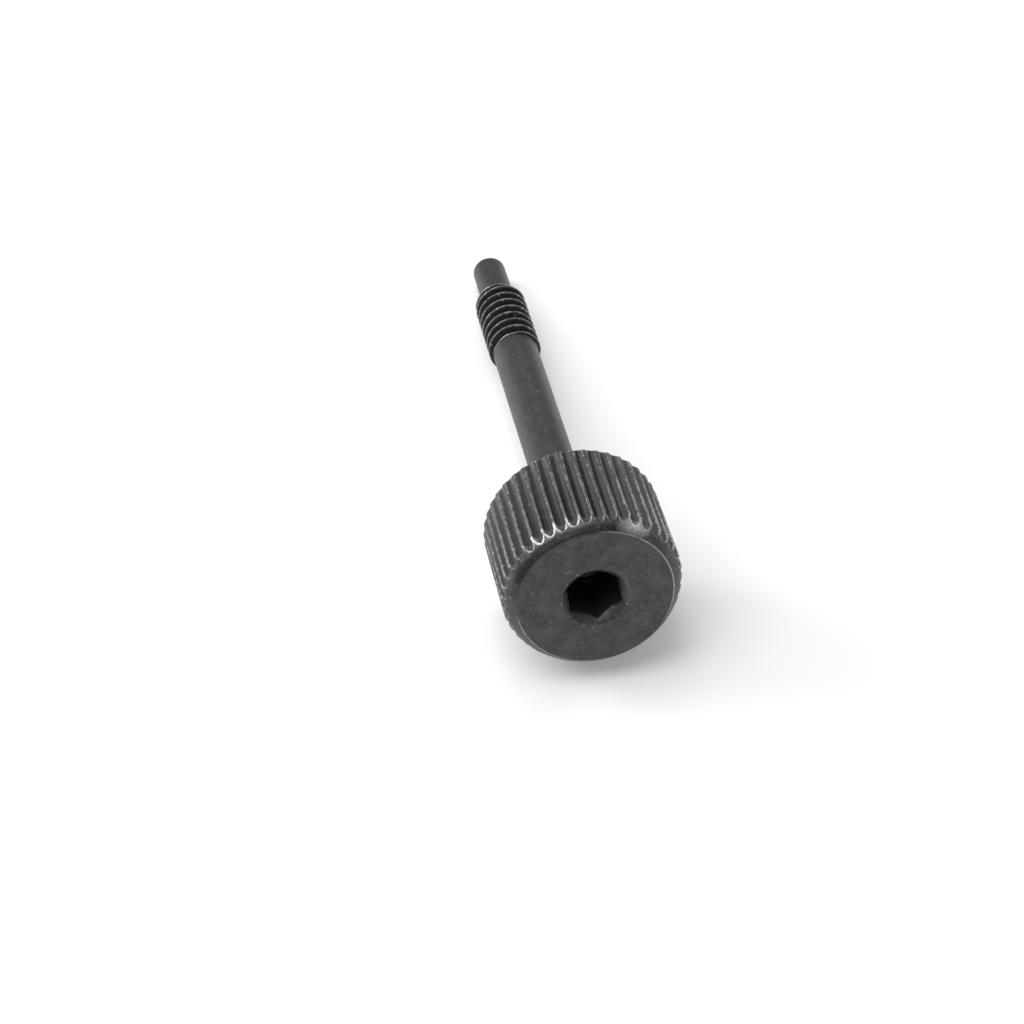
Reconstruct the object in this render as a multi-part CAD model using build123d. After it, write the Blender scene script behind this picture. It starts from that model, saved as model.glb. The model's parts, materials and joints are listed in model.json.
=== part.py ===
from build123d import *
import math
import os

# A turned steel captive screw: a knurled cylindrical head with a hexagon socket,
# a plain waisted shank, a short thread and a plain dog point. It is one piece.
#
# Millimetres, +Z up. The screw is first drawn standing along its own axis, with the
# front of the head at height 0 and the tip at the top. It is then laid on a level
# surface: head towards -Y, tip towards +Y and a little lower, as it comes to rest.
# The origin is on that surface, under the middle of the laid screw. Angles about the
# axis run from +X, so 90 is the underside of the laid screw and -90 its top.

# Head
head_diameter = 14.0
head_height = 9.9
front_chamfer_width = 0.95
front_chamfer_length = 1.38
front_chamfer_bulge = 0.08
front_edge_bevel = 0.08
rear_bevel = 0.28

# Straight knurl: round-bottomed grooves that run the whole height of the head
knurl_pitch = 1.0
knurl_groove_width = 0.82
knurl_groove_depth = 0.38

# Hexagon socket
socket_across_flats = 4.0
socket_depth = 4.8
socket_mouth_diameter = 5.25
socket_mouth_angle = 90.0
socket_corner_turn = 23.0
pilot_hole_diameter = 3.9
pilot_hole_depth = 5.2
drill_point_angle = 118.0

# Shank
shank_diameter = 3.85
shank_length = 25.1
shank_root_fillet = 0.3

# Right-hand thread
thread_diameter = 4.47
thread_pitch = 1.106
thread_length = 9.2
thread_flank_angle = 60.0
thread_entry_angle = 45.0
thread_start_turn = 73.6

# Dog point
dog_diameter = 2.9
dog_length = 5.3
dog_edge_bevel = 0.45

# How far a cutting body runs past the surface that it opens
cutter_overrun = 1.0

# Worked out from the sizes above
head_radius = head_diameter / 2
shank_radius = shank_diameter / 2
thread_radius = thread_diameter / 2
dog_radius = dog_diameter / 2
thread_start = head_height + shank_length
thread_end = thread_start + thread_length
overall_length = thread_end + dog_length

# The count is even, so that a crest straight under the laid screw has one opposite it
knurl_count = 2 * round(math.pi * head_diameter / knurl_pitch / 2)
knurl_first_groove = 90 + 180 / knurl_count

# A crest flat is an eighth of the pitch and a root flat a quarter
thread_crest_flat = thread_pitch / 8
thread_root_flat = thread_pitch / 4
thread_flank_slope = math.tan(math.radians(thread_flank_angle / 2))
thread_depth = (thread_pitch - thread_crest_flat - thread_root_flat) / 2 / thread_flank_slope
thread_root_radius = thread_radius - thread_depth

# Both ends of the thread are bevelled, down to the shank and down to the dog point
thread_entry_slope = math.tan(math.radians(thread_entry_angle))
thread_tip_bevel = (thread_radius - dog_radius) / thread_entry_slope


def turned(outline):
    """A body of revolution from a closed outline in (radius, height)."""
    return revolve(Plane.XZ * make_face(outline), Axis.Z)


def head_blank():
    """The head before it is knurled and broached."""
    inner = (head_radius - front_chamfer_width, 0)
    outer = (head_radius, front_chamfer_length)
    # The front chamfer is a shallow arc that stands proud of its chord
    chord = math.hypot(front_chamfer_width, front_chamfer_length)
    middle = (
        (inner[0] + outer[0]) / 2 + front_chamfer_bulge * front_chamfer_length / chord,
        (inner[1] + outer[1]) / 2 - front_chamfer_bulge * front_chamfer_width / chord,
    )
    outline = Line((0, 0), inner)
    outline += ThreePointArc(inner, middle, outer)
    outline += Polyline(
        outer,
        (head_radius, head_height - rear_bevel),
        (head_radius - rear_bevel, head_height),
        (0, head_height),
        (0, 0),
    )
    blank = turned(outline)
    face_edge = blank.edges().filter_by(GeomType.CIRCLE).group_by(Axis.Z)[0]
    return chamfer(face_edge, front_edge_bevel)


def knurl_grooves():
    """The round cutters of the knurl, which leave a crest straight under the laid screw."""
    half_width = knurl_groove_width / 2
    # The mouth of a groove is a chord, which lies a little inside the round head
    mouth_sag = head_radius - math.sqrt(head_radius**2 - half_width**2)
    depth = knurl_groove_depth - mouth_sag
    cutter_radius = (half_width**2 + depth**2) / 2 / depth
    cutter_place = head_radius - knurl_groove_depth + cutter_radius
    cutter = Pos(0, 0, -cutter_overrun) * Cylinder(
        cutter_radius,
        head_height + 2 * cutter_overrun,
        align=(Align.CENTER, Align.CENTER, Align.MIN),
    )
    places = PolarLocations(cutter_place, knurl_count, start_angle=knurl_first_groove)
    return [place * cutter for place in places]


def socket():
    """The broached hexagon with its countersunk mouth and its drilled bottom."""
    hexagon = RegularPolygon(
        socket_across_flats / 2, 6, major_radius=False, rotation=socket_corner_turn
    )
    mouth_radius = socket_mouth_diameter / 2
    mouth_slope = math.tan(math.radians(socket_mouth_angle / 2))
    mouth = turned(
        Polyline(
            (0, -cutter_overrun),
            (mouth_radius + cutter_overrun * mouth_slope, -cutter_overrun),
            (0, mouth_radius / mouth_slope),
            (0, -cutter_overrun),
        )
    )
    pilot_radius = pilot_hole_diameter / 2
    drill_slope = math.tan(math.radians(drill_point_angle / 2))
    pilot = turned(
        Polyline(
            (0, 0),
            (pilot_radius, 0),
            (pilot_radius, pilot_hole_depth),
            (0, pilot_hole_depth + pilot_radius / drill_slope),
            (0, 0),
        )
    )
    return extrude(hexagon, socket_depth) + mouth + pilot


def shank():
    """The plain waisted shank, with a fillet where it meets the head."""
    fillet_edge = (shank_radius + shank_root_fillet, head_height)
    fillet_end = (shank_radius, head_height + shank_root_fillet)
    reach = shank_root_fillet * (1 - math.sqrt(0.5))
    fillet_middle = (shank_radius + reach, head_height + reach)
    outline = Line((0, head_height), fillet_edge)
    outline += ThreePointArc(fillet_edge, fillet_middle, fillet_end)
    outline += Polyline(
        fillet_end,
        (shank_radius, thread_start),
        (0, thread_start),
        (0, head_height),
    )
    return turned(outline)


def thread():
    """The threaded stretch: a helical ridge on a core, bevelled at both ends."""
    # The ridge is rooted inside the core, and its flanks run on down to there
    rooting = thread_crest_flat / 2
    crest_half = thread_crest_flat / 2
    root_half = crest_half + (thread_depth + rooting) * thread_flank_slope
    inner_radius = thread_root_radius - rooting
    ridge_section = Plane.XZ * make_face(
        Polyline(
            (inner_radius, -root_half),
            (thread_radius, -crest_half),
            (thread_radius, crest_half),
            (inner_radius, root_half),
            (inner_radius, -root_half),
        )
    )
    # The ridge runs a pitch past the threaded stretch at both ends, and the core two
    helix = Helix(thread_pitch, thread_length + 2 * thread_pitch, thread_root_radius)
    wound = sweep(ridge_section, helix, is_frenet=True)
    ridge = Pos(0, 0, thread_start - thread_pitch) * Rot(0, 0, thread_start_turn) * wound
    core = Pos(0, 0, thread_start - 2 * thread_pitch) * Cylinder(
        thread_root_radius,
        thread_length + 4 * thread_pitch,
        align=(Align.CENTER, Align.CENTER, Align.MIN),
    )
    # The body that bevels the ends lies clear of the crests between them
    clear_radius = thread_radius + thread_crest_flat
    bevelled = turned(
        Polyline(
            (0, thread_start),
            (shank_radius, thread_start),
            (clear_radius, thread_start + (clear_radius - shank_radius) / thread_entry_slope),
            (clear_radius, thread_end - (clear_radius - dog_radius) / thread_entry_slope),
            (dog_radius, thread_end),
            (0, thread_end),
            (0, thread_start),
        )
    )
    return bevelled & (core + ridge)


def dog_point():
    """The plain tip, which finds the hole before the thread does."""
    return turned(
        Polyline(
            (0, thread_end),
            (dog_radius, thread_end),
            (dog_radius, overall_length - dog_edge_bevel),
            (dog_radius - dog_edge_bevel, overall_length),
            (0, overall_length),
            (0, thread_end),
        )
    )


def screw():
    """The whole screw, standing along +Z with the front of its head at height 0."""
    head = head_blank() - knurl_grooves() - socket()
    return head + shank() + thread() + dog_point()


def rest_tilt():
    """How far the tip dips, in degrees, with the head's rear rim and the tip end down."""
    # A crest of the knurl is straight under the axis
    rim_place = head_height - rear_bevel
    # The thread's last whole crest under the axis, and the edge of the dog point
    first_crest = thread_start - thread_pitch + thread_pitch * (90 - thread_start_turn) / 360
    last_place = thread_end - thread_tip_bevel - thread_crest_flat / 2
    crest_place = first_crest + thread_pitch * math.floor((last_place - first_crest) / thread_pitch)
    dog_place = overall_length - dog_edge_bevel
    thread_tilt = math.atan2(head_radius - thread_radius, crest_place - rim_place)
    dog_tilt = math.atan2(head_radius - dog_radius, dog_place - rim_place)
    return math.degrees(min(thread_tilt, dog_tilt))


def laid(standing):
    """The standing screw laid on the surface, with the origin under its middle."""
    lying = Rot(-90 - rest_tilt(), 0, 0) * standing
    box = lying.bounding_box()
    middle = box.center()
    return Pos(-middle.X, -middle.Y, -box.min.Z) * lying


captive_screw = laid(screw())
captive_screw.label = "captive_screw"

os.makedirs("parts", exist_ok=True)
export_step(captive_screw, "parts/captive_screw.step")
print("overall length", overall_length, "knurl grooves", knurl_count)
print("rest tilt", round(rest_tilt(), 3), "volume", round(captive_screw.volume, 2))
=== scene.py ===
import json
import math

import bmesh
import bpy
import numpy as np
from mathutils import Matrix, Vector, noise


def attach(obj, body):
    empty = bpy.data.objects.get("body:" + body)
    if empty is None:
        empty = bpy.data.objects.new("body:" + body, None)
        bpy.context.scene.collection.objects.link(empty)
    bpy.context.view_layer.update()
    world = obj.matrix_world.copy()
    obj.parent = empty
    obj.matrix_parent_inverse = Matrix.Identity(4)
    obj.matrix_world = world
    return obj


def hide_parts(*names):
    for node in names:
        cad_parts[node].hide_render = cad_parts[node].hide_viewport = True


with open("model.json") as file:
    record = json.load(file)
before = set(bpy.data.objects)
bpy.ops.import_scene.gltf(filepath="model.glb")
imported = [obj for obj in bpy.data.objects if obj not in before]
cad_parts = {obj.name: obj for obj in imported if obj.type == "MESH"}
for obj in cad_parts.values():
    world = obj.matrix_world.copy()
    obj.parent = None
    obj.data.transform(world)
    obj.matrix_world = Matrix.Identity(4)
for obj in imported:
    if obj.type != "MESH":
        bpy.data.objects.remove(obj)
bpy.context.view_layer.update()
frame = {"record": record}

# The screw's finished surface: a black-oxide steel captive screw with a worn knurled
# head. Sizes are in millimetres in the screw's own frame, with the front of the head
# at height 0 and the tip at the top, and angles run round its axis in degrees, so that
# 90 is the underside of the laid screw. The mount at the socket's mouth gives its place.

# Head
head_diameter = 14.0
head_height = 9.9
front_chamfer_width = 0.95
front_chamfer_length = 1.38
front_chamfer_bulge = 0.08
front_edge_bevel = 0.08
rear_bevel = 0.28

# Knurl
knurl_pitch = 1.0
knurl_groove_width = 0.82
knurl_groove_depth = 0.38
knurl_mean_depth = 0.34
knurl_rear_share = 0.42
knurl_lean_depth = 0.10
knurl_lean_angle = -85.0
crest_blend = 0.016
crest_wander = 0.035
crest_drop = 0.015

# Hexagon socket
socket_across_flats = 4.0
socket_depth = 4.8
socket_mouth_diameter = 5.25
socket_corner_turn = 23.0
socket_edge_break = 0.05
pilot_hole_diameter = 3.9
pilot_hole_depth = 5.2
drill_point_height = 1.17

# Shank, thread and dog point
shank_diameter = 3.85
shank_length = 25.1
shank_root_fillet = 0.3
thread_diameter = 4.47
thread_pitch = 1.106
thread_length = 9.2
thread_flank_angle = 60.0
thread_start_turn = 253.6
thread_tip_relief = 0.22
dog_diameter = 2.9
dog_length = 5.3
dog_edge_bevel = 0.45

# Where the oxide is worn off and where highlights are painted, as angles round the axis and a place
# on the chamfer
bright_lips_middle = -117.0
bright_lips_half = 12.0
bright_lips_fade = 14.0
bright_patch = (3.1, -5.7, 0.55)
bright_patch_reach = (1.6, 1.0, 0.7)

# Wear of the head's side: depths and the grain of the noise that places them
wear_band = 0.55
nick_depth = 0.10
nick_grain = 0.32
sag_depth = 0.02
sag_grain = 1.3
pit_depth = 0.014
pit_grain = 0.16

# Mesh density
samples_per_groove = 14
knurl_ring_step = 0.14
chamfer_rings = 26
socket_sides = 120
shank_sides = 96
thread_rows_per_pitch = 20

# Grey levels of the finish
# The first grey is painted shade in the knurl's grooves, on a band of the chamfer and in the
# thread's roots
painted_shade_grey = 0.012
oxide_dark = 0.046
oxide_light = 0.076
oxide_smooth = 0.095
oxide_streak = 0.10
oxide_grain = 0.135
oxide_knurl = 0.15
fleck_grey = 0.26
bare_grey = 0.50
# This bright grey is bare steel and painted highlights on the chamfer's lips, a patch and the
# face's edge
bare_and_highlight_grey = 0.82
# This grey is painted shade inside the socket
socket_shade_grey = 0.075

# Floor: half its side in metres, its colour, and a little light of its own to the eye
floor_half_size = 0.6
floor_colour = (0.86, 0.865, 0.88, 1)
floor_lift = 0.12

# Light from all round, and the lamps: name, place in metres, size and power
world_lit = 0.36
world_shown = 1.0
softboxes = (
    ("key", (-0.15, -0.01, 0.37), 0.36, 1.15),
    ("left", (-0.34, 0.12, 0.20), 0.16, 0.62),
    ("right", (0.34, 0.14, 0.16), 0.12, 0.32),
    ("back", (0.02, 0.30, 0.34), 0.24, 0.16),
)

# Camera: angles in degrees, distance in metres, and the rest in pixels
camera_turn = 9.896
camera_height = 43.752
camera_distance = 0.192655
focal_pixels = 2558.36
image_pixels = 1024
face_centre_pixel = (595.70, 597.78)
sensor_width = 36.0

# Worked out from the sizes above
head_radius = head_diameter / 2
shank_radius = shank_diameter / 2
thread_radius = thread_diameter / 2
dog_radius = dog_diameter / 2
face_edge_radius = head_radius - front_chamfer_width
mouth_radius = socket_mouth_diameter / 2
pilot_radius = pilot_hole_diameter / 2
thread_start = head_height + shank_length
thread_end = thread_start + thread_length
overall_length = thread_end + dog_length
knurl_count = 2 * round(math.pi * head_diameter / knurl_pitch / 2)
knurl_phase = 90 + 180 / knurl_count
thread_flank_slope = math.tan(math.radians(thread_flank_angle / 2))
thread_crest_share = 1 / 8
thread_root_share = 1 / 4
thread_flank_share = (1 - thread_crest_share - thread_root_share) / 2
thread_depth = thread_pitch * thread_flank_share / thread_flank_slope
thread_root_radius = thread_radius - thread_depth

MM = 0.001
random = np.random.default_rng(7)


# Where the screw lies

def screw_placement():
    """The screw's own frame in the row frame, from the mount at the socket's mouth."""
    mount = next(m for m in frame["record"]["mounts"] if m["name"] == "hexagon_socket")
    along = -Vector(mount["axis"]).normalized()
    across = Vector((1, 0, 0))
    down = along.cross(across)
    turn = Matrix((across, down, along)).transposed().to_4x4()
    return Matrix.Translation(Vector(mount["pos_m"])) @ turn


placement = screw_placement()


# The surface as rings of points, from the bottom of the socket to the tip

def ring(angles, radii, heights):
    """A closed ring of points round the axis. Radii and heights may be single values."""
    turn = np.radians(angles)
    radii = np.broadcast_to(radii, turn.shape)
    heights = np.broadcast_to(heights, turn.shape)
    return np.column_stack((radii * np.cos(turn), radii * np.sin(turn), heights))


def smooth_lower(a, b, blend):
    """The lower of two values, rounded where they cross."""
    share = np.clip(0.5 + 0.5 * (b - a) / blend, 0, 1)
    return b + (a - b) * share - blend * share * (1 - share)


def soft_noise(points, scale, seed):
    """Smooth noise, about -1 to 1, at points in millimetres. Scale is its grain."""
    shift = Vector((seed * 17.3, seed * 5.1, seed * 11.7))
    return np.array([noise.noise(Vector(p) / scale + shift) for p in points])


class Knurl:
    """The worn knurl: each groove and crest differs a little from its neighbours."""

    def __init__(self):
        half_width = knurl_groove_width / 2
        mouth_sag = head_radius - math.sqrt(head_radius**2 - half_width**2)
        depth = knurl_groove_depth - mouth_sag
        self.cutter_radius = (half_width**2 + depth**2) / 2 / depth
        self.step = 360 / knurl_count
        lean = np.radians(knurl_phase + self.step * np.arange(knurl_count) - knurl_lean_angle)
        self.deeper = random.uniform(-0.03, 0.025, knurl_count) + knurl_lean_depth * np.cos(lean)
        self.wander = random.uniform(-1, 1, knurl_count) * crest_wander
        self.lower = random.uniform(0, 1, knurl_count) * crest_drop
        self.angles = self.sample_angles()
        self.index = np.arange(len(self.angles)) // samples_per_groove

    def sample_angles(self):
        """Sample angles, closer together over the crests. Each groove starts at its left crest."""
        share = (np.arange(samples_per_groove) + 0.5) / samples_per_groove
        eased = share - 0.035 * np.sin(4 * math.pi * share)
        places = [knurl_phase + self.step * (k - 0.5 + eased) for k in range(knurl_count)]
        return np.concatenate(places)

    def radius(self, blank_radius, height):
        """The head's radius at each sample angle, for one height on the blank."""
        groove = self.index
        centre = knurl_phase + self.step * groove
        wander = self.wander[groove] * np.sin(0.45 * height + 2.4 * groove)
        offset = np.radians(self.angles - centre) - wander / head_radius * 0.6
        # The grooves are a little deeper on one side, and shallower towards the rear
        back = np.clip((height - 3.0) / (head_height - 3.0), 0, 1)
        depth = (knurl_mean_depth + self.deeper[groove]) * (1 - (1 - knurl_rear_share) * back)
        reach = head_radius - depth + self.cutter_radius
        inside = self.cutter_radius**2 - (reach * np.sin(offset)) ** 2
        floor = reach * np.cos(offset) - np.sqrt(np.maximum(inside, 0))
        floor = np.where(inside > 0, floor, head_radius + 1)
        return smooth_lower(blank_radius - self.lower[groove], floor, crest_blend)


knurl = Knurl()


def hexagon_radius(angles):
    """The distance from the axis to the hexagon's wall."""
    turned = np.radians((angles - socket_corner_turn) % 60 - 30)
    return socket_across_flats / 2 / np.cos(turned)


def socket_rings():
    """From the bottom of the drilled hole, up the hexagon's walls, to the countersunk mouth."""
    angles = socket_corner_turn + np.arange(socket_sides) * 360 / socket_sides
    wall = hexagon_radius(angles)
    edge = mouth_radius - wall
    drill_bottom = pilot_hole_depth + drill_point_height
    rings = [ring(angles, 0.02, drill_bottom)]
    rings += [
        ring(angles, pilot_radius * share, drill_bottom - drill_point_height * share)
        for share in (0.35, 0.7, 1)
    ]
    rings.append(ring(angles, pilot_radius, socket_depth))
    for share in np.linspace(0, 1, 14):
        lower_end = edge + socket_edge_break
        rings.append(ring(angles, wall, socket_depth + (lower_end - socket_depth) * share))
    rings.append(ring(angles, wall + socket_edge_break * 0.35, edge + socket_edge_break * 0.25))
    rings.append(ring(angles, wall + socket_edge_break, edge - socket_edge_break))
    top = mouth_radius - 0.03
    for share in (0.5, 1):
        height = (mouth_radius - wall) * (1 - share) + 0.03 * share
        rings.append(ring(angles, wall + (top - wall) * share, height))
    rings.append(ring(angles, mouth_radius + 0.03, 0.004))
    rings += [ring(angles, radius, 0) for radius in (mouth_radius + 0.09, 3.2)]
    return rings


def chamfer_outline():
    """The front chamfer's arc in (radius, height), with the rounded edge of the face first."""
    inner = np.array((face_edge_radius, 0.0))
    outer = np.array((head_radius, front_chamfer_length))
    chord = outer - inner
    length = np.linalg.norm(chord)
    proud = np.array((chord[1], -chord[0])) / length
    share = np.linspace(0, 1, chamfer_rings)[:, None]
    bow = 4 * front_chamfer_bulge * share * (1 - share)
    points = inner + chord * share + proud * bow
    near = np.linalg.norm(points - inner, axis=1)
    dip = front_edge_bevel * np.clip(1 - near / (3 * front_edge_bevel), 0, 1) ** 2
    points[:, 1] += 0.45 * dip
    return points


def head_rings():
    """The front face, the chamfer, the knurled side, the rear rim and the rear face."""
    angles = knurl.angles
    face_radii = (3.6, 4.6, 5.4, 5.8, face_edge_radius - 0.2, face_edge_radius - 0.08)
    rings = [ring(angles, radius, 0) for radius in face_radii]
    rings.append(ring(angles, face_edge_radius - 0.03, 0.018))
    for radius, height in chamfer_outline():
        rings.append(ring(angles, knurl.radius(radius, height), height))
    straight = head_height - rear_bevel - front_chamfer_length
    steps = round(straight / knurl_ring_step)
    for step in range(1, steps + 1):
        height = front_chamfer_length + straight * step / steps
        rings.append(ring(angles, knurl.radius(head_radius, height), height))
    for share in (0.35, 0.7, 1):
        height = head_height - rear_bevel * (1 - share)
        radius = head_radius - rear_bevel * share
        rings.append(ring(angles, knurl.radius(radius, height), height))
    rings.append(ring(angles, head_radius - 0.75, head_height))
    rings.append(ring(angles, head_radius - 1.4, head_height))
    return rings


def shank_angles():
    """The angles of the points on a ring of the shank, thread or tip."""
    return np.arange(shank_sides) * 360 / shank_sides


def shank_rings():
    """The rear face's inner part, the root fillet and the plain shank."""
    angles = shank_angles()
    root = shank_radius + shank_root_fillet
    rings = [ring(angles, radius, head_height) for radius in (5.0, 3.6, root + 0.3)]
    for turn in np.radians(np.linspace(0, 90, 6)):
        rings.append(
            ring(
                angles,
                root - shank_root_fillet * math.sin(turn),
                head_height + shank_root_fillet * (1 - math.cos(turn)),
            )
        )
    plain_start = head_height + shank_root_fillet
    for share in np.linspace(0, 1, 32)[1:]:
        rings.append(ring(angles, shank_radius, plain_start + (thread_start - plain_start) * share))
    return rings


def thread_radius_at(angles, heights):
    """The thread's radius: helical crests, cut back by the bevels at both ends."""
    phase = (heights - thread_start + thread_pitch) / thread_pitch
    phase = phase - (angles - thread_start_turn) / 360
    away = np.abs((phase + 0.5) % 1 - 0.5)
    flank = np.clip((away - thread_crest_share / 2) / thread_flank_share, 0, 1)
    wound = thread_radius - thread_depth * flank
    entry = shank_radius + heights - thread_start
    # The last crest is rubbed down a little where the screw rests on it
    resting = np.clip(1.5 * np.cos(np.radians(angles - 90)) - 0.2, 0, 1)
    leave = dog_radius + np.maximum(thread_end - thread_tip_relief * resting - heights, 0)
    return np.minimum(wound, np.minimum(entry, leave))


def thread_rows():
    """Rows of points that follow the helix, so that every crest is one clean edge."""
    angles = shank_angles()
    rise = thread_pitch * angles / 360
    count = math.ceil((thread_length + thread_pitch) / thread_pitch * thread_rows_per_pitch)
    rows = []
    for step in range(count + 1):
        start = thread_start - thread_pitch + step * thread_pitch / thread_rows_per_pitch
        heights = np.clip(start + rise, thread_start, thread_end)
        rows.append(ring(angles, thread_radius_at(angles, heights), heights))
    return rows


def tip_rings():
    """The dog point with its broken edge and flat end."""
    angles = shank_angles()
    edge = overall_length - dog_edge_bevel
    rings = [
        ring(angles, dog_radius, thread_end + (edge - 0.1 - thread_end) * share)
        for share in np.linspace(0, 1, 9)
    ]
    for turn in np.radians(np.linspace(0, 90, 9)[1:]):
        rings.append(
            ring(
                angles,
                dog_radius - 0.006 - dog_edge_bevel * (1 - math.cos(turn)),
                edge + (dog_edge_bevel - 0.005) * math.sin(turn),
            )
        )
    rings += [ring(angles, radius, overall_length - 0.005) for radius in (0.7, 0.35, 0.02)]
    return rings


# Rings to faces

def zipped(lower, upper, first_lower, first_upper):
    """Triangles between two rings whose points are not in step."""
    m, n = len(lower), len(upper)
    lower_turn = np.unwrap(np.arctan2(lower[:, 1], lower[:, 0]))
    away = np.arctan2(upper[:, 1], upper[:, 0]) - lower_turn[0]
    # The walk round the upper ring begins at its point nearest the lower ring's first
    begin = np.argmin(np.abs((away + math.pi) % (2 * math.pi) - math.pi))
    order = np.roll(np.arange(n), -begin)
    upper_turn = np.unwrap(np.arctan2(upper[order, 1], upper[order, 0]))
    upper_turn += 2 * math.pi * round((lower_turn[0] - upper_turn[0]) / (2 * math.pi))
    order = order.tolist()
    faces, i, j = [], 0, 0
    while i < m or j < n:
        next_lower = lower_turn[(i + 1) % m] + 2 * math.pi * ((i + 1) // m)
        next_upper = upper_turn[(j + 1) % n] + 2 * math.pi * ((j + 1) // n)
        here_lower, here_upper = first_lower + i % m, first_upper + order[j % n]
        if j == n or (i < m and next_lower <= next_upper):
            faces.append((here_lower, first_lower + (i + 1) % m, here_upper))
            i += 1
        else:
            faces.append((here_lower, first_upper + order[(j + 1) % n], here_upper))
            j += 1
    return faces


def skin(rings):
    """Points and faces of the surface that runs through the rings in order."""
    points, faces, start = [], [], 0
    for position, here in enumerate(rings):
        points.append(here)
        if position:
            before = rings[position - 1]
            first = start - len(before)
            if len(before) == len(here):
                count = len(here)
                faces += [
                    (first + k, first + (k + 1) % count, start + (k + 1) % count, start + k)
                    for k in range(count)
                ]
            else:
                faces += zipped(before, here, first, start)
        start += len(here)
    return np.vstack(points), faces


def skin_of_thread(rows):
    """As skin, but a row's last point is followed by the first point of the row one turn on."""
    count = len(rows[0])
    last = len(rows) - 1
    faces = []
    for row in range(last):
        for k in range(count):
            if k + 1 < count:
                right, right_up = row * count + k + 1, (row + 1) * count + k + 1
            else:
                right = min(row + thread_rows_per_pitch, last) * count
                right_up = min(row + 1 + thread_rows_per_pitch, last) * count
            faces.append((row * count + k, right, right_up, (row + 1) * count + k))
    return np.vstack(rows), faces


def joined(*parts):
    """The parts' points and faces as one list of each."""
    points, faces, start = [], [], 0
    for part_points, part_faces in parts:
        points.append(part_points)
        faces += [tuple(start + i for i in face) for face in part_faces]
        start += len(part_points)
    return np.vstack(points), faces


# Wear: small dents and dulled crests that belong to the shape itself

def worn(points):
    """The points with nicks along the crests and a slightly uneven side."""
    radius = np.hypot(points[:, 0], points[:, 1])
    height = points[:, 2]
    on_side = (radius > head_radius - wear_band) & (height > 0.2) & (height < head_height)
    side = points[on_side]
    side_radius = radius[on_side]
    crest = np.clip((side_radius - head_radius + 0.2) / 0.2, 0, 1)
    rough = soft_noise(side * (1, 1, 0.8), nick_grain, 3)
    coarse = soft_noise(side * (1, 1, 0.35), sag_grain, 5)
    cut = nick_depth * np.clip(rough - 0.32, 0, 1) * crest
    cut += sag_depth * np.clip(coarse, 0, 1) * crest
    cut += pit_depth * soft_noise(side, pit_grain, 9)
    cut = np.maximum(cut, side_radius - head_radius)
    points[on_side, :2] *= (1 - cut / side_radius)[:, None]
    return points


def build_screw():
    """One closed mesh of the whole screw, in the row frame."""
    outer = skin(socket_rings() + head_rings() + shank_rings())
    thread = skin_of_thread(thread_rows())
    tip = skin(tip_rings())
    points, faces = joined(outer, thread, tip)
    points = worn(points)
    mesh = bpy.data.meshes.new("captive_screw_surface")
    mesh.from_pydata(points.tolist(), [], faces)
    form = bmesh.new()
    form.from_mesh(mesh)
    bmesh.ops.remove_doubles(form, verts=form.verts, dist=2e-4)
    bmesh.ops.dissolve_degenerate(form, edges=form.edges, dist=2e-4)
    open_edges = [e for e in form.edges if e.is_boundary]
    bmesh.ops.holes_fill(form, edges=open_edges, sides=0)
    bmesh.ops.recalc_face_normals(form, faces=form.faces)
    form.to_mesh(mesh)
    form.free()
    mark_surface(mesh)
    mesh.transform(placement @ Matrix.Scale(MM, 4))
    mesh.shade_smooth()
    mesh.set_sharp_from_angle(angle=math.radians(38))
    screw = bpy.data.objects.new("screw_surface", mesh)
    bpy.context.scene.collection.objects.link(screw)
    return screw


def edge_ends(mesh):
    """The indices of the points at the two ends of every edge."""
    edges = np.empty(len(mesh.edges) * 2, np.int32)
    mesh.edges.foreach_get("vertices", edges)
    return edges[0::2], edges[1::2]


def convexity(mesh, points):
    """How far each point stands out from its neighbours, against their distance."""
    a, b = edge_ends(mesh)
    step = points[b] - points[a]
    length = np.linalg.norm(step, axis=1)
    normals = np.empty(len(points) * 3, np.float32)
    mesh.vertices.foreach_get("normal", normals)
    normals = normals.reshape(-1, 3)
    lean_a = -np.einsum("ij,ij->i", step, normals[a]) / np.maximum(length, 1e-6)
    lean_b = np.einsum("ij,ij->i", step, normals[b]) / np.maximum(length, 1e-6)
    total, weight = np.zeros(len(points)), np.zeros(len(points))
    for index, lean in ((a, lean_a), (b, lean_b)):
        np.add.at(total, index, lean)
        np.add.at(weight, index, 1)
    return total / np.maximum(weight, 1)


def spread(mesh, values, share):
    """The values, with each point raised to a share of its highest neighbour."""
    a, b = edge_ends(mesh)
    wider = values.copy()
    np.maximum.at(wider, a, values[b] * share)
    np.maximum.at(wider, b, values[a] * share)
    return wider


def window(values, middle, half, fade):
    """1 within half of the middle, falling to 0 over the fade."""
    return np.clip((half + fade - np.abs(values - middle)) / fade, 0, 1)


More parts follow.
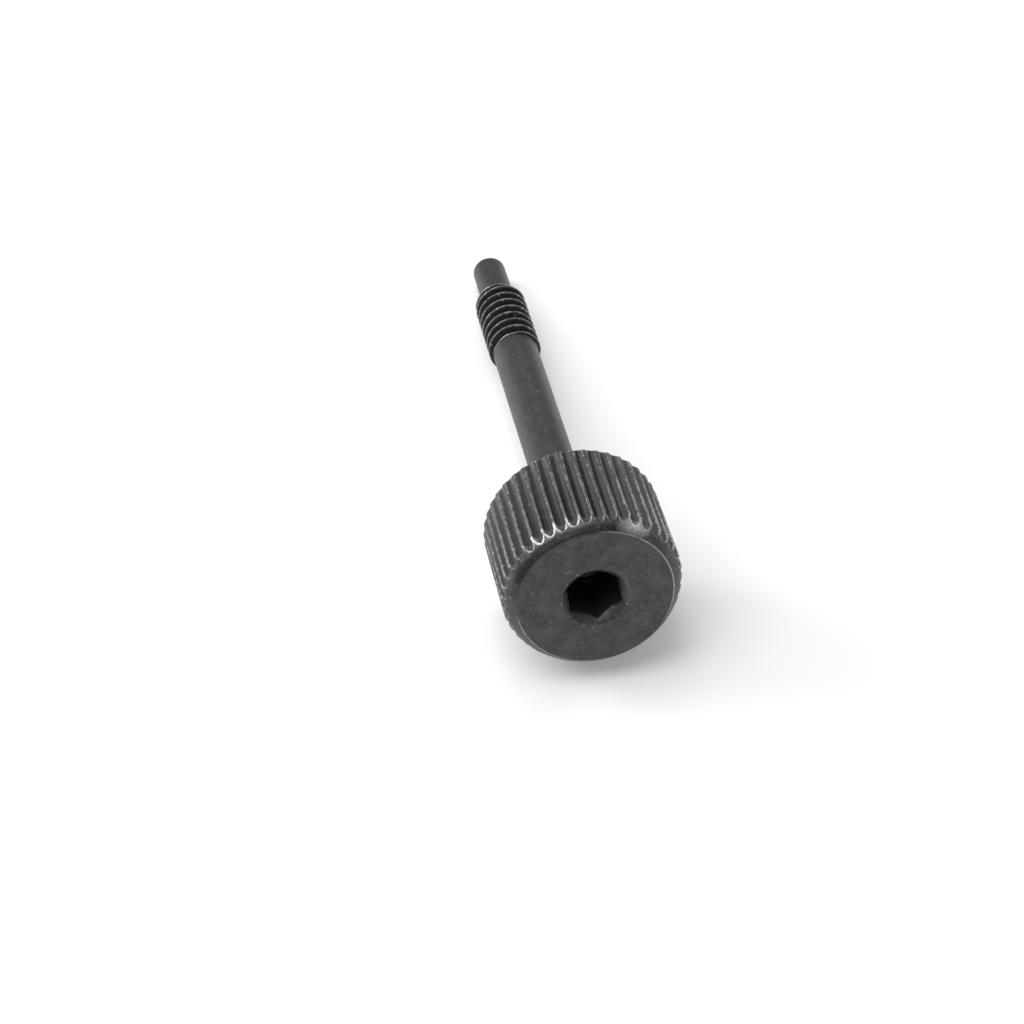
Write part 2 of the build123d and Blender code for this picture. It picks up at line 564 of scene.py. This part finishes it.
def mark_surface(mesh):
    """Attributes for the material: the place in the screw's frame, and masks from 0 to 1."""
    points = np.empty(len(mesh.vertices) * 3, np.float32)
    mesh.vertices.foreach_get("co", points)
    points = points.reshape(-1, 3)
    radius = np.hypot(points[:, 0], points[:, 1])
    angle = np.degrees(np.arctan2(points[:, 1], points[:, 0]))
    height = points[:, 2]
    place = mesh.attributes.new("place", "FLOAT_VECTOR", "POINT")
    place.data.foreach_set("vector", points.ravel())

    sharpness = convexity(mesh, points)
    at_face_edge = (np.abs(radius - face_edge_radius) < 0.12) & (height < 0.15)
    edge = np.where(at_face_edge, 0, np.clip(sharpness * 2.2, 0, 1))
    on_head = (radius > 5.9) & (height < head_height + 0.01)
    threaded = (height > thread_start) & (height < thread_end)
    # Painted shade: a groove's left wall and floor are painted darker than its right wall, and less
    # so on the head's left side
    groove_place = ((angle - knurl_phase) / knurl.step + 0.5) % 1
    groove_shade = 0.05 + 0.95 * np.clip((0.60 - groove_place) / 0.12, 0, 1)
    groove_shade *= 1 - 0.5 * np.clip(-np.cos(np.radians(angle)), 0, 1)
    # Painted shade in the knurl's grooves, darker towards their floors and left off the chamfer
    painted_shade = np.where(on_head, np.clip((head_radius - 0.07 - radius) / 0.12, 0, 1) * groove_shade, 0)
    painted_shade = np.where(height < front_chamfer_length, 0, painted_shade)
    # Painted shade as a dark band on the inner part of the chamfer at the side of the bright lips
    chamfer_shade = window(angle, -114, 44, 18) * np.clip((6.56 - radius) / 0.16, 0, 1)
    painted_shade = np.where((radius > face_edge_radius + 0.02) & (height < 0.9), chamfer_shade * 0.8, painted_shade)
    # Painted shade in the thread's roots
    painted_shade = np.where(threaded, np.clip((thread_radius - 0.02 - radius) / 0.12, 0, 1), painted_shade)

    # The lips where the grooves run out on the chamfer are painted bright on the lit side, bare
    # steel with a painted highlight
    on_chamfer = (height < front_chamfer_length + 0.1) & (radius > 6.25)
    lips = np.clip(sharpness * 7 - 0.3, 0, 1) * on_chamfer
    lips *= window(angle, bright_lips_middle, bright_lips_half, bright_lips_fade)
    broken = soft_noise(points[lips > 0], 0.55, 21)
    lips[lips > 0] *= np.clip(0.8 + 1.8 * broken, 0.12, 1)
    lips = spread(mesh, lips, 0.75)
    # A painted highlight lies on the chamfer beside them as a speckled bright patch
    away = np.linalg.norm((points - bright_patch) / bright_patch_reach, axis=1)
    patch = np.clip(1.15 - away, 0, 1) * (radius > face_edge_radius + 0.03) * 0.75
    # The edge of the face is painted as a thin bright line over part of its length, bare steel with
    # a painted highlight
    line = np.clip(1 - np.abs(radius - face_edge_radius) / 0.06, 0, 1) * (height < 0.12)
    line *= np.maximum(window(angle, -30, 42, 20), 0.7 * window(angle, 128, 30, 18))
    bare_and_highlight = np.maximum(np.maximum(lips, patch), line * 0.8)

    # Painted shade inside the socket: full from a little below the mouth, and partly on its lower
    # side nearer the mouth
    inside = (radius < mouth_radius - 0.04) & (height > 0.06) & (height < head_height)
    low_side = np.clip(points[:, 1] / radius.clip(0.01), 0, 1)
    deep = np.clip((height - 0.25) / 0.6, 0, 1)
    socket_shade = np.where(inside, np.maximum(0.45 * low_side, deep), 0)
    # The head is gritty, its knurl most of all, and the shank and tip are smooth
    grit = np.where(height < head_height + 0.01, 0.6, 0.0)
    grit = np.where(on_head & (height > 0.9), 1.0, grit)
    masks = {"edge": edge, "painted_shade": painted_shade, "bare_and_highlight": bare_and_highlight, "socket_shade": socket_shade, "grit": grit}
    for name, values in masks.items():
        mark = mesh.attributes.new(name, "FLOAT", "POINT")
        mark.data.foreach_set("value", values.astype(np.float32))


# The finish

class Nodes:
    """A short way to add and join shader nodes."""

    def __init__(self, name):
        self.material = bpy.data.materials.new(name)
        self.material.use_nodes = True
        self.tree = self.material.node_tree
        self.tree.nodes.clear()

    def add(self, kind, inputs=None, **settings):
        node = self.tree.nodes.new(kind)
        for key, value in settings.items():
            setattr(node, key, value)
        for key, value in (inputs or {}).items():
            self.put(node.inputs[key], value)
        return node

    def put(self, socket, value):
        if isinstance(value, bpy.types.NodeSocket):
            self.tree.links.new(value, socket)
        else:
            socket.default_value = value

    def math(self, operation, *values):
        node = self.tree.nodes.new("ShaderNodeMath")
        node.operation = operation
        for socket, value in zip(node.inputs, values):
            self.put(socket, value)
        return node.outputs[0]

    def ranged(self, value, low, high, to_low=0.0, to_high=1.0):
        node = self.add("ShaderNodeMapRange", interpolation_type="SMOOTHSTEP")
        names = ("Value", "From Min", "From Max", "To Min", "To Max")
        for key, item in zip(names, (value, low, high, to_low, to_high)):
            self.put(node.inputs[key], item)
        return node.outputs["Result"]

    def noise(self, place, scale, detail=3.0, roughness=0.55):
        node = self.add(
            "ShaderNodeTexNoise",
            {"Vector": place, "Scale": scale, "Detail": detail, "Roughness": roughness},
        )
        return node.outputs["Fac"]

    def mixed(self, share, a, b):
        node = self.add("ShaderNodeMix", data_type="RGBA")
        self.put(node.inputs[0], share)
        self.put(node.inputs[6], a)
        self.put(node.inputs[7], b)
        return node.outputs[2]


def grey(level, cool=1.0):
    """A neutral grey, a little cooler where cool is above 1."""
    return (level, level * (1 + 0.02 * cool), level * (1 + 0.035 * cool), 1)


def black_oxide():
    """Black-oxide steel: mottled, worn bright along its edges, with painted shade in its grooves,
    thread roots and socket and painted highlights on the chamfer.
    """
    n = Nodes("black_oxide_steel")
    place = n.add("ShaderNodeAttribute", attribute_name="place").outputs["Vector"]
    edge, painted_shade, bare_and_highlight, socket_shade, grit = (
        n.add("ShaderNodeAttribute", attribute_name=name).outputs["Fac"]
        for name in ("edge", "painted_shade", "bare_and_highlight", "socket_shade", "grit")
    )
    drawn = n.add("ShaderNodeVectorMath", {0: place, 1: (1.0, 1.0, 0.09)}, operation="MULTIPLY")

    blotch = n.noise(place, 0.6, 4, 0.6)
    grain = n.noise(place, 7.0, 4, 0.7)
    speck = n.noise(place, 13.0, 2, 0.7)
    patchy = n.noise(place, 2.4, 4, 0.65)
    streak = n.noise(drawn.outputs[0], 3.2, 3, 0.6)

    oxide = n.mixed(n.ranged(blotch, 0.35, 0.68), grey(oxide_dark), grey(oxide_light))
    oxide = n.mixed(n.math("MULTIPLY", n.ranged(streak, 0.4, 0.7), 0.35), oxide, grey(oxide_streak))
    oxide = n.mixed(n.math("MULTIPLY", n.ranged(grain, 0.5, 0.72), 0.6), oxide, grey(oxide_grain))
    oxide = n.mixed(n.ranged(grit, 0.6, 0.0, 0.0, 0.55), oxide, grey(oxide_smooth))
    oxide = n.mixed(n.ranged(grit, 0.6, 1.0, 0.0, 0.5), oxide, grey(oxide_knurl))
    # Painted shade in the grooves, on the chamfer's band and in the thread's roots
    oxide = n.mixed(n.math("MULTIPLY", painted_shade, 0.88), oxide, grey(painted_shade_grey))
    flecks = n.ranged(speck, 0.60, 0.72)
    flecks = n.math("MULTIPLY", flecks, n.ranged(grit, 0.0, 0.6, 0.06, 0.5))
    oxide = n.mixed(flecks, oxide, grey(fleck_grey))

    # Bare steel shows where edges rub, in broken lines
    rub = n.math("ADD", edge, n.math("MULTIPLY", n.math("SUBTRACT", patchy, 0.5), 1.3))
    rub = n.math("ADD", rub, n.math("MULTIPLY", n.math("SUBTRACT", grain, 0.5), 1.0))
    bare = n.math("MULTIPLY", n.ranged(rub, 0.18, 0.62), 0.9)
    colour = n.mixed(bare, oxide, grey(bare_grey, 0.5))
    # Bare steel and painted highlights on the chamfer's lips, the patch beside them and the face's
    # edge
    bare_and_highlight_speckled = n.math("MULTIPLY", bare_and_highlight, n.ranged(speck, 0.36, 0.6, 0.35, 1.0))
    colour = n.mixed(bare_and_highlight_speckled, colour, grey(bare_and_highlight_grey, 0.3))
    # Painted shade inside the socket
    colour = n.mixed(n.math("MULTIPLY", socket_shade, 0.9), colour, grey(socket_shade_grey))

    roughness = n.ranged(grain, 0.2, 0.8, 0.36, 0.56)
    relief = n.math("ADD", grain, n.math("MULTIPLY", speck, 0.6))
    tooth = n.add("ShaderNodeBump", {"Strength": 0.3, "Distance": 0.00004, "Height": relief})
    surface = n.add(
        "ShaderNodeBsdfPrincipled",
        {
            "Base Color": colour,
            "Metallic": 0.85,
            "Roughness": roughness,
            "Normal": tooth.outputs["Normal"],
        },
    )
    # Weaker specular reflection inside the socket, as part of its painted shade
    shine = n.math("MULTIPLY", n.math("SUBTRACT", 1.0, socket_shade), 0.5)
    n.put(surface.inputs["Specular IOR Level"], shine)
    output = n.add("ShaderNodeOutputMaterial")
    n.tree.links.new(surface.outputs[0], output.inputs["Surface"])
    return n.material


# Floor, light and camera

def pale_floor():
    """A plain pale floor, staged under the screw."""
    n = Nodes("pale_floor")
    seen = n.add("ShaderNodeLightPath")
    direct = n.math("MAXIMUM", seen.outputs["Is Camera Ray"], seen.outputs["Is Glossy Ray"])
    matt = n.add("ShaderNodeBsdfDiffuse", {"Color": floor_colour})
    glow = n.add(
        "ShaderNodeEmission",
        {"Color": (1, 1, 1, 1), "Strength": n.math("MULTIPLY", direct, floor_lift)},
    )
    both = n.add("ShaderNodeAddShader")
    n.tree.links.new(matt.outputs[0], both.inputs[0])
    n.tree.links.new(glow.outputs[0], both.inputs[1])
    output = n.add("ShaderNodeOutputMaterial")
    n.tree.links.new(both.outputs[0], output.inputs["Surface"])
    mesh = bpy.data.meshes.new("floor")
    s = floor_half_size
    mesh.from_pydata([(-s, -s, 0), (s, -s, 0), (s, s, 0), (-s, s, 0)], [], [(0, 1, 2, 3)])
    mesh.materials.append(n.material)
    floor = bpy.data.objects.new("floor", mesh)
    bpy.context.scene.collection.objects.link(floor)


def studio_world():
    """Even white light from all round, at full white where it is seen."""
    world = bpy.data.worlds.new("studio")
    bpy.context.scene.world = world
    world.use_nodes = True
    tree = world.node_tree
    tree.nodes.clear()
    seen = tree.nodes.new("ShaderNodeLightPath")
    lit = tree.nodes.new("ShaderNodeBackground")
    lit.inputs["Color"].default_value = (1, 1, 1, 1)
    lit.inputs["Strength"].default_value = world_lit
    shown = tree.nodes.new("ShaderNodeBackground")
    shown.inputs["Color"].default_value = (1, 1, 1, 1)
    shown.inputs["Strength"].default_value = world_shown
    mix = tree.nodes.new("ShaderNodeMixShader")
    output = tree.nodes.new("ShaderNodeOutputWorld")
    tree.links.new(seen.outputs["Is Camera Ray"], mix.inputs[0])
    tree.links.new(lit.outputs[0], mix.inputs[1])
    tree.links.new(shown.outputs[0], mix.inputs[2])
    tree.links.new(mix.outputs[0], output.inputs["Surface"])


def softbox(name, place, size, power):
    """A square lamp that looks at the screw."""
    lamp = bpy.data.lights.new(name, "AREA")
    lamp.shape = "SQUARE"
    lamp.size = size
    lamp.energy = power
    obj = bpy.data.objects.new(name, lamp)
    bpy.context.scene.collection.objects.link(obj)
    obj.location = place
    aim = Vector((0, 0, 0.005)) - Vector(place)
    obj.rotation_euler = aim.to_track_quat("-Z", "Y").to_euler()


def photo_camera():
    """The camera stands where the middle of the head's face falls on its pixel."""
    turn, height = math.radians(camera_turn), math.radians(camera_height)
    forward = Vector(
        (math.sin(turn) * math.cos(height), math.cos(turn) * math.cos(height), -math.sin(height))
    )
    right = forward.cross(Vector((0, 0, 1))).normalized()
    up = right.cross(forward)
    middle = image_pixels / 2
    sideways = (face_centre_pixel[0] - middle) / focal_pixels
    upward = (middle - face_centre_pixel[1]) / focal_pixels
    sight = (forward + right * sideways + up * upward).normalized()
    data = bpy.data.cameras.new("photo_camera")
    data.sensor_width = sensor_width
    data.lens = focal_pixels * data.sensor_width / image_pixels
    data.clip_start = 0.01
    data.clip_end = 10
    camera = bpy.data.objects.new("photo_camera", data)
    bpy.context.scene.collection.objects.link(camera)
    place = placement.translation - sight * camera_distance
    axes = Matrix((right, up, -forward)).transposed().to_4x4()
    camera.matrix_world = Matrix.Translation(place) @ axes
    bpy.context.scene.camera = camera


# The scene

screw = build_screw()
screw.data.materials.append(black_oxide())
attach(screw, "root")
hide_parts("captive_screw")

pale_floor()
studio_world()
for box in softboxes:
    softbox(*box)
photo_camera()
bpy.context.scene.view_settings.view_transform = "Standard"
